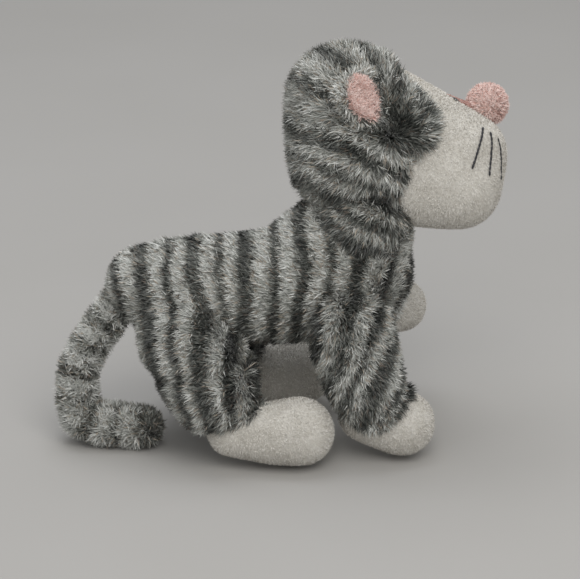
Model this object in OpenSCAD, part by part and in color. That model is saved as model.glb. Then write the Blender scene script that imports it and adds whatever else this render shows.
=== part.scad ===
// Long-pile grey tabby plush cat, standing, head lifted and turned a little to its left.
// +X is the way the cat faces, +Y its left side, +Z up. The floor is z = 0.

/* [Overall] */
// Facets round the trunk and head shells
trunk_facets = 22; // [16:2:24]
// Facets round the legs and tail
limb_facets = 16; // [14:2:20]
// Thickness of the sewn fur cloth with its backing
cloth_t = 2.4; // [1.6:0.2:3]
// Air left between the cloth and the filling, and round each soft hinge
ease = 0.6; // [0.5:0.1:1]

/* [Trunk] */
// Radius of the trunk at its middle
trunk_r = 36; // [34:0.5:37]
// Radius of the chest
chest_r = 35; // [33:0.5:36]
// Height of the trunk's middle above the floor
trunk_z = 106; // [104:1:108]

/* [Head] */
// Turn of the head to its left at rest, degrees
head_turn = 10; // [6:1:12]
// Lean of the crown to its left at rest, degrees
head_lean = 18; // [14:1:20]
// Radius of the back of the head
skull_r = 34; // [32:0.5:35]
// Radius of the muzzle
muzzle_r = 27; // [25:0.5:28]
// Radius of the nose ball
nose_r = 10.5; // [9:0.5:12]
// Width of each eye
eye_d = 9; // [7:0.5:10]

/* [Legs] */
// Radius of a front leg
fore_r = 25; // [23:0.5:26]
// Radius of a front paw
paw_r = 24; // [22:0.5:24.5]
// Radius of a rear foot
foot_r = 22.5; // [21:0.5:23]

/* [Tail] */
// Radius of the tail's cloth tube
tail_r = 9.5; // [8:0.5:10]

/* [Hidden] */
// ball centres are [x, y, z]; the fourth number of a station is its radius
neck_pivot = [50, 0, 156];
neck_r = 29;
fore_pivot = [44, -29, 92];
hind_pivot = [-62, -28, 88];
tail_pivot = [-110, 0, 100];
kink_pivot = [-134, -14, 17];
fore_sweep = 22;
hind_sweep = 20;
thread_d = 1.2;

trunk_stations = [
    [-88, 0, 112, 21],
    [-72, 0, 104, trunk_r - 3],
    [-32, 0, trunk_z, trunk_r],
    [6, 0, trunk_z + 4, trunk_r + 1],
    [47, 0, 121, chest_r]
];
withers_stations = [
    [6, 0, trunk_z + 4, trunk_r],
    [37, 0, 141, 27],
    [52, 0, 136, 22]
];

// head stations are in the head's own frame: forward, left, up from the neck pivot
skull_stations = [
    [-1, 8, 78, skull_r],
    [-1, -8, 78, skull_r],
    [-3, 6, 42, skull_r - 1],
    [-3, -6, 42, skull_r - 1],
    [30, 9, 70, 23],
    [30, -9, 70, 23]
];
face_stations = [
    [36, 11, 68, 24],
    [36, -11, 68, 24],
    [73, 6, 47, muzzle_r],
    [73, -6, 47, muzzle_r],
    [62, 10, 25, muzzle_r - 0.5],
    [62, -10, 25, muzzle_r - 0.5],
    [36, 6, 24, 22],
    [36, -6, 24, 22]
];
nose_at = [90, 0, 76];
seam_fwd = 43;

fore_stations = [
    [44, -29, 92, fore_r],
    [47, -32, 76, fore_r],
    [55, -34, 48, fore_r - 1.5]
];
paw_stations = [
    [59, -34, paw_r - 0.8, paw_r],
    [78, -35, paw_r - 1.4, paw_r - 0.6]
];
hind_stations = [
    [-62, -28, 88, 25],
    [-58, -34, 76, 29],
    [-41, -42, 59, 28],
    [-48, -46, 45, 21]
];
foot_stations = [
    [-29, -51, foot_r - 0.8, foot_r],
    [-8, -51, foot_r, foot_r + 0.8],
    [12, -51, foot_r - 0.8, foot_r]
];
// the left front leg is lifted out and forward: same lengths, other directions
lifted_stations = [
    [44, 29, 92, fore_r],
    [53, 38, 85, fore_r],
    [67, 56, 72, fore_r - 1.5]
];
lifted_paw_stations = [
    [69, 61, 68, paw_r - 1],
    [79, 68, 59, paw_r - 1]
];
tail_stations = [
    [-110, 0, 100, tail_r + 1],
    [-118, -1, 88, tail_r + 1],
    [-130, -5, 68, tail_r],
    [-138, -8, 48, tail_r],
    [-138, -12, 30, tail_r]
];
tip_stations = [
    [-134, -14, 17, tail_r],
    [-122, -15, 13, tail_r],
    [-106, -17, 12, tail_r],
    [-93, -19, 13, tail_r - 1]
];

function mirrored(stations) = [for (s = stations) [s[0], -s[1], s[2], s[3]]];
function smaller(stations, by) = [for (s = stations) [s[0], s[1], s[2], s[3] - by]];

module ball(s, facets) {
    translate([s[0], s[1], s[2]]) sphere(r = s[3], $fn = facets);
}

// a limb: each station's ball joined to the next
module limb(stations, facets) {
    for (i = [0 : len(stations) - 2])
        hull() {
            ball(stations[i], facets);
            ball(stations[i + 1], facets);
        }
}

// one rounded mass round all its stations
module mass(stations, facets) {
    hull() for (s = stations) ball(s, facets);
}

module head_frame() {
    translate(neck_pivot) rotate([0, 0, head_turn]) rotate([-head_lean, 0, 0]) children();
}

// ---- room that moving parts need in the trunk and head ----

module swept(stations, pivot, sweep, gap) {
    hull() for (a = [-sweep, sweep])
        translate(pivot) rotate([0, a, 0]) translate(-pivot)
            for (s = smaller(stations, -gap)) ball(s, 14);
}

module leg_room(gap) {
    swept([fore_stations[0], fore_stations[1]], fore_pivot, fore_sweep, gap);
    swept(mirrored([fore_stations[0], fore_stations[1]]), [44, 29, 92], fore_sweep, gap);
    swept([lifted_stations[0], lifted_stations[1]], [44, 29, 92], fore_sweep, gap);
    swept([hind_stations[0], hind_stations[1]], hind_pivot, hind_sweep, gap);
    swept(mirrored([hind_stations[0], hind_stations[1]]), [-62, 28, 88], hind_sweep, gap);
}

module neck_room(gap) {
    translate(neck_pivot) sphere(r = neck_r + gap, $fn = 24);
    translate([-20, -80, 150 - gap]) cube([160, 160, 60]);
}

module tail_room(gap) {
    translate(tail_pivot) sphere(r = tail_r + 1 + gap, $fn = 18);
    translate(tail_pivot) rotate([0, -145, 0])
        cylinder(r1 = tail_r + 1 + gap, r2 = tail_r + 22, h = 40, $fn = 18);
}

module trunk_body(by) {
    union() {
        limb(smaller(trunk_stations, by), trunk_facets);
        mass(smaller(withers_stations, by), trunk_facets);
    }
}

module torso_shell() {
    color("#8b8b85") difference() {
        trunk_body(0);
        trunk_body(cloth_t);
        leg_room(ease + 0.9);
        neck_room(ease);
        tail_room(ease);
    }
}

module torso_fill() {
    color("#efeee9") difference() {
        trunk_body(cloth_t + ease);
        leg_room(ease + 2);
        neck_room(ease + 2);
        tail_room(ease + 2);
        translate([-18, 0, 94]) sphere(r = 17 + ease, $fn = 32);
        translate([-18, 0, 40]) cylinder(r = 9, h = 54, $fn = 32);
    }
}

module torso_beans() {
    color("#d9cfb6") translate([-18, 0, 94]) sphere(r = 17, $fn = 32);
}

// ---- neck ----

module neck_ball(r) {
    translate(neck_pivot) rotate_extrude($fn = 48)
        intersection() {
            circle(r = r, $fn = 48);
            translate([0, -r + 6]) square([r, 2 * r - 12]);
        }
}

module neck_sleeve() {
    color("#777770") difference() {
        neck_ball(neck_r);
        neck_ball(neck_r - cloth_t);
        translate(neck_pivot) cylinder(r = neck_r - 9, h = 80, center = true, $fn = 48);
    }
}

module neck_fill() {
    color("#efeee9") neck_ball(neck_r - cloth_t - ease);
}

// ---- head ----

module neck_seat(gap) {
    sphere(r = neck_r + gap, $fn = 32);
    translate([-60, -60, -60]) cube([95, 120, 68]);
}

module head_shell() {
    color("#74726a") head_frame() difference() {
        mass(skull_stations, trunk_facets);
        mass(smaller(skull_stations, cloth_t), trunk_facets);
        neck_seat(ease);
        translate([seam_fwd, -60, -20]) cube([60, 120, 160]);
        mass(smaller(face_stations, -0.05), trunk_facets);
    }
}

module face_panel() {
    color("#dedad2") head_frame() difference() {
        mass(face_stations, trunk_facets);
        union() {
            mass(smaller(face_stations, cloth_t - 0.6), trunk_facets - 2);
            translate([-40, -60, -20]) cube([69.3, 120, 160]);
        }
    }
}

module head_fill() {
    color("#efeee9") head_frame() difference() {
        union() {
            mass(smaller(skull_stations, cloth_t + ease), 18);
            mass(smaller(face_stations, cloth_t + 1.2), 18);
        }
        neck_seat(ease + 2.5);
        translate(nose_at) sphere(r = nose_r + 2, $fn = 32);
    }
}

module nose() {
    color("#d7a9a0") head_frame() translate(nose_at) intersection() {
        sphere(r = nose_r, $fn = 48);
        rotate([0, -28, 0]) translate([0, 0, nose_r - 8.6]) cube([40, 40, 2 * nose_r], center = true);
    }
}

// an eye: a low plastic dome with its shank, let into the face beside the bridge
module eye(side) {
    color("#161310") head_frame()
        translate([66, side * 10, 79.6]) rotate([side * -6, 27, 0]) {
            intersection() {
                translate([0, 0, 1.9 - eye_d]) sphere(r = eye_d, $fn = 48);
                cylinder(d = eye_d, h = 4, $fn = 48);
            }
            translate([0, 0, -5]) cylinder(d = 3, h = 5.2, $fn = 24);
        }
}

// a stitched line: short thread bars laid end to end on the cheek
module stitched(from, to) {
    step = (to - from) / norm(to - from);
    translate(from)
        rotate([0, acos(step[2]), atan2(step[1], step[0])])
            cylinder(d = thread_d, h = norm(to - from), $fn = 16);
}

module whiskers(side) {
    color("#17171a") head_frame() {
        stitched([84, side * 27, 60], [74, side * 34, 37]);
        stitched([89, side * 26, 56], [85, side * 27.5, 31]);
        stitched([94, side * 22.5, 51.5], [93, side * 22.5, 28]);
    }
}

module mouth_stitch() {
    color("#3a3436") head_frame() stitched([98.5, 0, 58], [99.5, 0, 45]);
}

// ---- ears: a cupped pad folded back along its root seam, lined on the side that shows ----

ear_root_low = [18, 35, 65];
ear_root_high = [8, 34, 99];
ear_tip = [-16, 52, 88];

module ear_pad(side, t, shrink, lift) {
    out = [0, side * lift, 0];
    centre = (ear_root_low + ear_root_high + ear_tip) / 3;
    function place(p) = [p[0], side * p[1], p[2]] + out;
    function drawn(p) = centre + (p - centre) * shrink;
    hull() for (p = [ear_root_low, ear_root_high, ear_tip,
                     (ear_root_high + ear_tip) / 2 + [-2, 1, 5],
                     (ear_root_low + ear_tip) / 2 + [-4, 2, -5]])
        translate(place(drawn(p))) sphere(d = t, $fn = 14);
}

module ear_outer(side) {
    color("#6f6d66") head_frame() difference() {
        ear_pad(side, 4, 1, 0);
        mass(smaller(skull_stations, -ease), trunk_facets);
    }
}

module ear_inner(side) {
    color("#c99f97") head_frame() difference() {
        ear_pad(side, 2.4, 0.66, 3.6);
        ear_pad(side, 4.1, 1, 0);
        mass(smaller(skull_stations, -ease), trunk_facets);
    }
}

// ---- legs ----

module sleeve(stations, cut) {
    difference() {
        limb(stations, limb_facets);
        limb(smaller(stations, cloth_t), limb_facets);
        mass(smaller(cut, -ease), limb_facets);
    }
}

module filling(stations, cut) {
    difference() {
        limb(smaller(stations, cloth_t + ease), limb_facets - 2);
        mass(smaller(cut, -ease), limb_facets);
    }
}

module paw_cup(stations) {
    difference() {
        mass(stations, limb_facets + 4);
        mass(smaller(stations, cloth_t - 0.6), limb_facets + 4);
        // a standing foot is pressed flat where it rests
        translate([-200, -200, -20]) cube([400, 400, 20]);
    }
}

module bean_bag(stations) {
    mass(smaller(stations, cloth_t), limb_facets - 2);
}

module fore_right_sleeve() { color("#7c7c76") sleeve(fore_stations, paw_stations); }
module fore_right_fill() { color("#efeee9") filling(fore_stations, paw_stations); }
module fore_right_paw() { color("#dcd8d0") paw_cup(paw_stations); }
module fore_right_beans() { color("#d9cfb6") bean_bag(paw_stations); }

module fore_left_sleeve() { color("#7c7c76") sleeve(lifted_stations, lifted_paw_stations); }
module fore_left_fill() { color("#efeee9") filling(lifted_stations, lifted_paw_stations); }
module fore_left_paw() { color("#dcd8d0") paw_cup(lifted_paw_stations); }
module fore_left_beans() { color("#d9cfb6") bean_bag(lifted_paw_stations); }

module hind_right_sleeve() { color("#7c7c76") sleeve(hind_stations, foot_stations); }
module hind_right_fill() { color("#efeee9") filling(hind_stations, foot_stations); }
module hind_right_foot() { color("#dcd8d0") paw_cup(foot_stations); }
module hind_right_beans() { color("#d9cfb6") bean_bag(foot_stations); }

module hind_left_sleeve() { color("#7c7c76") sleeve(mirrored(hind_stations), mirrored(foot_stations)); }
module hind_left_fill() { color("#efeee9") filling(mirrored(hind_stations), mirrored(foot_stations)); }
module hind_left_foot() { color("#dcd8d0") paw_cup(mirrored(foot_stations)); }
module hind_left_beans() { color("#d9cfb6") bean_bag(mirrored(foot_stations)); }

// ---- tail: an upper length that hangs and a tip that lies on the floor ----

module kink_room(gap) {
    translate(kink_pivot) sphere(r = tail_r + gap, $fn = 24);
    translate(kink_pivot + [0, 0, -30 + 6]) cube([60, 60, 60], center = true);
}

module tail_sleeve() {
    color("#7a7972") difference() {
        limb(tail_stations, limb_facets);
        limb(smaller(tail_stations, cloth_t), limb_facets);
        kink_room(ease);
    }
}

module tail_fill() {
    color("#efeee9") difference() {
        limb(smaller(tail_stations, cloth_t + ease), limb_facets - 2);
        kink_room(ease + 1);
    }
}

module tail_tip_sleeve() {
    color("#7a7972") difference() {
        limb(tip_stations, limb_facets);
        limb(smaller(tip_stations, cloth_t), limb_facets);
    }
}

module tail_tip_fill() {
    color("#efeee9") limb(smaller(tip_stations, cloth_t + ease), limb_facets - 2);
}

// the lifted paw reaches further out than the standing ones, so the cat stands a little to
// the right of the middle of its overall box
module laid() {
    translate([0, -8.35, 0]) children();
}

laid() torso_shell();
laid() torso_fill();
laid() torso_beans();
laid() neck_sleeve();
laid() neck_fill();
laid() head_shell();
laid() face_panel();
laid() head_fill();
laid() nose();
laid() eye(-1);  // eye_right
laid() eye(1);  // eye_left
laid() whiskers(-1);  // whiskers_right
laid() whiskers(1);  // whiskers_left
laid() mouth_stitch();
laid() ear_outer(-1);  // ear_right_outer
laid() ear_inner(-1);  // ear_right_inner
laid() ear_outer(1);  // ear_left_outer
laid() ear_inner(1);  // ear_left_inner
laid() fore_right_sleeve();
laid() fore_right_fill();
laid() fore_right_paw();
laid() fore_right_beans();
laid() fore_left_sleeve();
laid() fore_left_fill();
laid() fore_left_paw();
laid() fore_left_beans();
laid() hind_right_sleeve();
laid() hind_right_fill();
laid() hind_right_foot();
laid() hind_right_beans();
laid() hind_left_sleeve();
laid() hind_left_fill();
laid() hind_left_foot();
laid() hind_left_beans();
laid() tail_sleeve();
laid() tail_fill();
laid() tail_tip_sleeve();
laid() tail_tip_fill();
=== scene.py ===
"""Long-pile grey tabby plush cat: sewn fur skins, short-pile face and paws, pink nose and ear linings.

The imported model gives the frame. Lengths in the classes are millimetres and are scaled to metres
when a mesh is made. +X is the way the cat faces, +Y its left side, +Z up.
"""

from __future__ import annotations

import logging
import math
from dataclasses import dataclass, field, replace
from enum import Enum

import bmesh
import bpy
import numpy as np
from mathutils import Matrix, Vector, noise
from mathutils.bvhtree import BVHTree

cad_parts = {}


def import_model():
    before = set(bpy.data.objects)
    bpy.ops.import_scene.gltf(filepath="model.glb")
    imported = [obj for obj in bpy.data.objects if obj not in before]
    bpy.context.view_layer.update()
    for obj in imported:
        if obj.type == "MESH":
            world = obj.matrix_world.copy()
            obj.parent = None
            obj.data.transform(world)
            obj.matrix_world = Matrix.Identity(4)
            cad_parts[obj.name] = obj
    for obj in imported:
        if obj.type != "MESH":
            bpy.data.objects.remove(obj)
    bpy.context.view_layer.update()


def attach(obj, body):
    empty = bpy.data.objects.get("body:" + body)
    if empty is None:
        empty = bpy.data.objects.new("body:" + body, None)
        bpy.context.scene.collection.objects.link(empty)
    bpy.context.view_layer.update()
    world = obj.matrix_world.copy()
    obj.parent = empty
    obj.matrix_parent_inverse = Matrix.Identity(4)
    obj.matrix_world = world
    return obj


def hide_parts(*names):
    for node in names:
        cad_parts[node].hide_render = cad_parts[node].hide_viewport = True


LOG = logging.getLogger("plush_cat")
MM = 0.001
# the cat stands a little to the right of the middle of its overall box, as its CAD model does
LAID = np.array([0.0, -8.35, 0.0])
Station = tuple[float, float, float, float]
Point = tuple[float, float, float]


# ---------------------------------------------------------------- small tools


def linear(hex_colour: str) -> tuple[float, float, float, float]:
    """Turns an sRGB hex value into a linear colour.

    Args:
        hex_colour: six hex digits, with or without a leading #.

    Returns:
        Linear red, green, blue and an alpha of 1.
    """
    text = hex_colour.lstrip("#")
    parts = [int(text[k : k + 2], 16) / 255 for k in (0, 2, 4)]
    lin = [c / 12.92 if c <= 0.04045 else ((c + 0.055) / 1.055) ** 2.4 for c in parts]
    return (lin[0], lin[1], lin[2], 1.0)


def add_node(
    tree: bpy.types.NodeTree, kind: str, ins: dict | None = None, **settings: object
) -> bpy.types.Node:
    """Adds one node to a tree.

    Args:
        tree: shader or geometry tree that takes the node.
        kind: the node's type name.
        ins: input name or number to a value or to an output socket.
        settings: attributes set on the node.

    Returns:
        The new node.
    """
    node = tree.nodes.new(kind)
    for name, value in settings.items():
        setattr(node, name, value)
    feed(tree, node, ins or {})
    return node


def feed(tree: bpy.types.NodeTree, node: bpy.types.Node, ins: dict) -> None:
    """Links output sockets to a node's inputs and sets the inputs that are given plain values."""
    for key, value in ins.items():
        socket = node.inputs[key]
        if isinstance(value, bpy.types.NodeSocket):
            tree.links.new(value, socket)
        else:
            socket.default_value = value


def linked(name: str, data: bpy.types.ID) -> bpy.types.Object:
    """A new object for the data, linked to the scene."""
    ob = bpy.data.objects.new(name, data)
    bpy.context.scene.collection.objects.link(ob)
    return ob


def smooth(mesh: bpy.types.Mesh) -> None:
    """Shades every face of a mesh smooth."""
    mesh.polygons.foreach_set("use_smooth", [True] * len(mesh.polygons))


def mesh_object(name: str, verts: np.ndarray, faces: list | np.ndarray) -> bpy.types.Object:
    """Makes a linked mesh object at the origin from points in millimetres.

    Args:
        name: object and mesh name.
        verts: N by 3 points, mm.
        faces: vertex numbers of each face.

    Returns:
        The object, smooth shaded.
    """
    mesh = bpy.data.meshes.new(name)
    placed = (np.asarray(verts, float) + LAID) * MM
    mesh.from_pydata(placed.tolist(), [], [tuple(int(i) for i in f) for f in faces])
    smooth(mesh)
    mesh.update()
    return linked(name, mesh)


def face_outward(ob: bpy.types.Object) -> None:
    """Turns every face of a closed mesh to look outward."""
    bm = bmesh.new()
    bm.from_mesh(ob.data)
    bmesh.ops.recalc_face_normals(bm, faces=bm.faces[:])
    bm.to_mesh(ob.data)
    bm.free()


def add_remesh(ob: bpy.types.Object, voxel: float) -> None:
    """Adds a voxel remesh whose voxel is given in millimetres."""
    remesh = ob.modifiers.new("remesh", "REMESH")
    remesh.mode = "VOXEL"
    remesh.voxel_size = voxel * MM
    remesh.use_smooth_shade = True


def add_tree(ob: bpy.types.Object, name: str, tree: bpy.types.NodeTree, values: dict) -> None:
    """Adds a Geometry Nodes modifier.

    Args:
        ob: object that takes the modifier.
        name: the modifier's name.
        tree: its node tree.
        values: input name to value.
    """
    added = ob.modifiers.new(name, "NODES")
    added.node_group = tree
    for item in tree.interface.items_tree:
        if item.item_type == "SOCKET" and item.in_out == "INPUT" and item.name in values:
            added[item.identifier] = values[item.name]


def baked(ob: bpy.types.Object) -> bpy.types.Object:
    """Replaces an object's mesh by its evaluated one and drops its modifiers.

    Args:
        ob: object whose modifiers are finished.

    Returns:
        The same object with a plain mesh.
    """
    graph = bpy.context.evaluated_depsgraph_get()
    mesh = bpy.data.meshes.new_from_object(ob.evaluated_get(graph), depsgraph=graph)
    old = ob.data
    ob.modifiers.clear()
    ob.data = mesh
    mesh.name = ob.name
    bpy.data.meshes.remove(old)
    return ob


def points_of(ob: bpy.types.Object) -> np.ndarray:
    """The mesh's vertices as an N by 3 array in millimetres, in the cat's own frame."""
    co = np.empty(len(ob.data.vertices) * 3, np.float32)
    ob.data.vertices.foreach_get("co", co)
    return co.reshape(-1, 3).astype(float) / MM - LAID


def set_points(ob: bpy.types.Object, p: np.ndarray) -> None:
    """Moves the mesh's vertices to new places given in millimetres in the cat's own frame."""
    ob.data.vertices.foreach_set("co", ((p + LAID) * MM).astype(np.float32).ravel())
    ob.data.update()


def normals_of(ob: bpy.types.Object) -> np.ndarray:
    """The mesh's vertex normals as an N by 3 array."""
    no = np.empty(len(ob.data.vertices) * 3, np.float32)
    ob.data.vertex_normals.foreach_get("vector", no)
    return no.reshape(-1, 3).astype(float)


def set_attribute(ob: bpy.types.Object, name: str, values: np.ndarray) -> None:
    """Stores a float or vector for each vertex.

    Args:
        ob: mesh object.
        name: attribute name.
        values: N floats, or N by 3.
    """
    vector = values.ndim == 2
    att = ob.data.attributes.new(name, "FLOAT_VECTOR" if vector else "FLOAT", "POINT")
    att.data.foreach_set("vector" if vector else "value", values.astype(np.float32).ravel())


def step(a: float, b: float, x: np.ndarray) -> np.ndarray:
    """Smooth rise from 0 at a to 1 at b."""
    t = np.clip((x - a) / (b - a), 0, 1)
    return t * t * (3 - 2 * t)


def segment_distance(p: np.ndarray, a: Station, b: Station) -> np.ndarray:
    """Signed distance from points to a tapered round limb.

    Args:
        p: N by 3 points, mm.
        a: station at one end.
        b: station at the other end.

    Returns:
        N distances, below 0 inside.
    """
    pa, pb = np.array(a[:3]), np.array(b[:3])
    d = pb - pa
    t = np.clip((p - pa) @ d / max(d @ d, 1e-9), 0, 1)
    return np.linalg.norm(p - pa - t[:, None] * d, axis=1) - (a[3] + t * (b[3] - a[3]))


def chain_distance(p: np.ndarray, chain: list[Station]) -> np.ndarray:
    """Smallest distance to the limbs of a chain of stations."""
    return np.min([segment_distance(p, a, b) for a, b in zip(chain, chain[1:])], axis=0)


def combed(p: np.ndarray, nap: Point) -> np.ndarray:
    """The same nap direction at every point."""
    return np.tile(np.array(nap), (len(p), 1))


def mirrored(chain: list[Station]) -> list[Station]:
    """The same stations on the other side of the cat."""
    return [(s[0], -s[1], s[2], s[3]) for s in chain]


def lumps(p: np.ndarray, size: float, seed: int) -> np.ndarray:
    """Smooth noise sampled at points.

    Args:
        p: N by 3 points, mm.
        size: width of one lump, mm.
        seed: moves the noise to another place.

    Returns:
        N values from about -1 to 1.
    """
    shift = Vector((seed * 7.31, seed * 3.17, seed * 5.77))
    return np.array([noise.noise(Vector(q) / size + shift) for q in p])


# ---------------------------------------------------------------- skins


def stuffed_skin(
    name: str, groups: list[list[Station]], voxel: float = 2.6, rounds: int = 8
) -> bpy.types.Object:
    """Makes one closed skin round groups of balls, each group drawn tight like cloth round filling.

    Args:
        name: object name.
        groups: each group's stations, hulled together.
        voxel: remesh size, mm.
        rounds: smoothing rounds.

    Returns:
        The skin as a plain mesh.
    """
    whole = bmesh.new()
    for group in groups:
        bm = bmesh.new()
        for s in group:
            at = Matrix.Translation(Vector((np.array(s[:3]) + LAID) * MM))
            bmesh.ops.create_icosphere(bm, subdivisions=3, radius=s[3] * MM, matrix=at)
        hull = bmesh.ops.convex_hull(bm, input=bm.verts[:])
        spare = {g for k in ("geom_interior", "geom_unused") for g in hull[k]}
        unused = [g for g in spare if isinstance(g, bmesh.types.BMVert)]
        bmesh.ops.delete(bm, geom=unused, context="VERTS")
        part = bpy.data.meshes.new("hull")
        bm.to_mesh(part)
        bm.free()
        whole.from_mesh(part)
        bpy.data.meshes.remove(part)
    mesh = bpy.data.meshes.new(name)
    whole.to_mesh(mesh)
    whole.free()
    ob = linked(name, mesh)
    add_remesh(ob, voxel)
    ob.modifiers.new("smooth", "SMOOTH").iterations = rounds
    return baked(ob)


def cut_along(
    ob: bpy.types.Object, corners: list[Point], along: Point, keep_inside: bool
) -> bpy.types.Object:
    """Cuts a closed skin along a sewn seam, leaving a closed piece.

    Args:
        ob: skin to cut.
        corners: points round the outline of a straight prism, mm, in the cat's frame.
        along: the prism's half length as a vector, mm.
        keep_inside: True keeps what is in the prism, False what is outside.

    Returns:
        The same object with its cut mesh.
    """
    ring = np.array(corners, float)
    half = np.array(along, float)
    n = len(ring)
    verts = np.vstack([ring - half, ring + half])
    sides = [(i, (i + 1) % n, n + (i + 1) % n, n + i) for i in range(n)]
    tool = mesh_object("seam_prism", verts, sides + [tuple(range(n)), tuple(range(n, 2 * n))])
    face_outward(tool)
    cut = ob.modifiers.new("cut", "BOOLEAN")
    cut.object = tool
    cut.solver = "EXACT"
    cut.operation = "INTERSECT" if keep_inside else "DIFFERENCE"
    baked(ob)
    bpy.data.objects.remove(tool)
    smooth(ob.data)
    return ob


def cloth_run(
    ob: bpy.types.Object, pressure: float = 4.0, slack: float = 1.5, cap: float = 3.2, voxel: float = 4.5,
    frames: int = 20,
) -> bpy.types.Object:
    """Runs a closed skin as slack cloth under pressure for a short time, and applies the result.

    The cloth hardly stretches: a skin moves by less than a millimetre on average and stays near its
    slack size. Its form comes from its hulls, and not from this run.

    Args:
        ob: closed skin.
        pressure: cloth pressure.
        slack: how far inside its full size the cloth starts, mm.
        cap: furthest that a point may move, mm.
        voxel: size of the cloth's mesh, mm.
        frames: length of the run.

    Returns:
        The same object with its new mesh.
    """
    add_remesh(ob, voxel)
    baked(ob)
    rest = points_of(ob) - normals_of(ob) * slack
    set_points(ob, rest)
    cloth = ob.modifiers.new("cloth", "CLOTH")
    cloth.settings.quality = 5
    cloth.settings.mass = 0.02
    cloth.settings.tension_stiffness = cloth.settings.compression_stiffness = 5.0
    cloth.settings.bending_stiffness = 0.3
    cloth.settings.use_pressure = True
    cloth.settings.uniform_pressure_force = pressure
    cloth.settings.effector_weights.gravity = 0
    cloth.point_cache.frame_start = 1
    cloth.point_cache.frame_end = frames
    for f in range(1, frames + 1):
        bpy.context.scene.frame_set(f)
    baked(ob)
    bpy.context.scene.frame_set(1)
    move = points_of(ob) - rest
    far = np.linalg.norm(move, axis=1, keepdims=True)
    LOG.info("%s: the cloth run moved it by %.1f mm on average", ob.name, float(far.mean()))
    move *= np.minimum(1, cap / np.maximum(far, 1e-6))
    set_points(ob, rest + move)
    fine = ob.modifiers.new("fine", "SUBSURF")
    fine.levels = fine.render_levels = 1
    return baked(ob)


def copied(ob: bpy.types.Object, name: str) -> bpy.types.Object:
    """A linked copy of an object with its own mesh."""
    return linked(name, ob.data.copy())


def drawn_in(
    p: np.ndarray, out: np.ndarray, line: tuple[Point, Point], depth: float, wide: float
) -> np.ndarray:
    """Draws cloth in along a crease on both sides of the cat.

    Args:
        p: N by 3 points, mm, in the frame the crease is given in.
        out: N by 3 normals in that frame.
        line: the crease's ends in side elevation; the second numbers aren't used.
        depth: how deep the crease is, mm.
        wide: its half width, mm.

    Returns:
        The moved points.
    """
    (ax, _, az), (bx, _, bz) = line
    flat = np.c_[p[:, 0], np.zeros(len(p)), p[:, 2]]
    near = segment_distance(flat, (ax, 0.0, az, 0.0), (bx, 0.0, bz, 0.0))
    return p - out * (depth * np.exp(-((near / wide) ** 2)))[:, None]


# ---------------------------------------------------------------- the tabby marking


@dataclass(frozen=True)
class Bands:
    """Evenly spaced dark bands along one coordinate of the cloth, every other one broader."""

    pitch: float
    first: float
    width: float

    def dark(self, s: np.ndarray, scale: np.ndarray | float = 1.0) -> np.ndarray:
        """Darkness along the coordinate.

        Args:
            s: the coordinate at each point.
            scale: millimetres for each unit of the coordinate.

        Returns:
            N values, 1 in a band and 0 between.
        """
        k = np.round((s - self.first) / self.pitch)
        off = np.abs(s - self.first - k * self.pitch) * scale
        wide = self.width * (1 + 0.28 * np.cos(math.pi * k))
        return 1 - step(wide * 0.40, wide * 1.05, off)


@dataclass(frozen=True)
class Hoops:
    """Bands round the trunk and legs, which draw together towards the belly."""

    bands: Bands = Bands(18.5, -97.0, 4.9)
    spine: float = 140.0
    drop: float = 70.0
    draw: float = 0.22
    middle: float = -25.0

    def dark(self, p: np.ndarray) -> np.ndarray:
        """Darkness at points in the cat's frame."""
        keep = 1 - self.draw * np.clip((self.spine - p[:, 2]) / self.drop, 0, 1.5)
        return self.bands.dark((p[:, 0] - self.middle * (1 - keep)) / keep, keep)


@dataclass(frozen=True)
class Sag:
    """Parallel bands that sink towards the front."""

    bands: Bands
    slope: float = 0.5

    def dark(self, p: np.ndarray) -> np.ndarray:
        """Darkness at points."""
        return self.bands.dark(p[:, 2] + self.slope * p[:, 0])


@dataclass(frozen=True)
class HoodPrint:
    """The head's print: sagging bands from nape to jaw, and rays over the crown from the ear's foot."""

    sag: Sag = Sag(Bands(16.0, 11.0, 5.0))
    rays: Bands = Bands(22.0, 31.0, 5.4)
    foot: tuple[float, float] = (14.0, 52.0)
    crown: float = 57.0

    def dark(self, q: np.ndarray) -> np.ndarray:
        """Darkness at points in the head's frame."""
        high = step(self.crown - 3, self.crown + 3, q[:, 2] + self.sag.slope * q[:, 0])
        ahead, above = q[:, 0] - self.foot[0], q[:, 2] - self.foot[1]
        angle = np.degrees(np.arctan2(above, ahead))
        rays = self.rays.dark(angle, math.radians(1) * np.hypot(ahead, above))
        return self.sag.dark(q) * (1 - high) + rays * high


# how far the bands wander, mm; how uneven they and the cloth between them are; how dark they print
WANDER = 4.5
BAND_PATCHES = 0.42
CLOTH_PATCHES = 0.10
BAND_INK = 0.86
TONE_ENDS = (0.03, 0.97)


# seed of the print that runs on from trunk to legs, and how far its strands' tips lie from their roots, mm
BODY_SEED = 11
BODY_DRIFT = 3.5


def velour_tone(p: np.ndarray) -> np.ndarray:
    """Faint patches of the white cloth."""
    return 0.55 + 0.2 * lumps(p, 14, 16)


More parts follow.
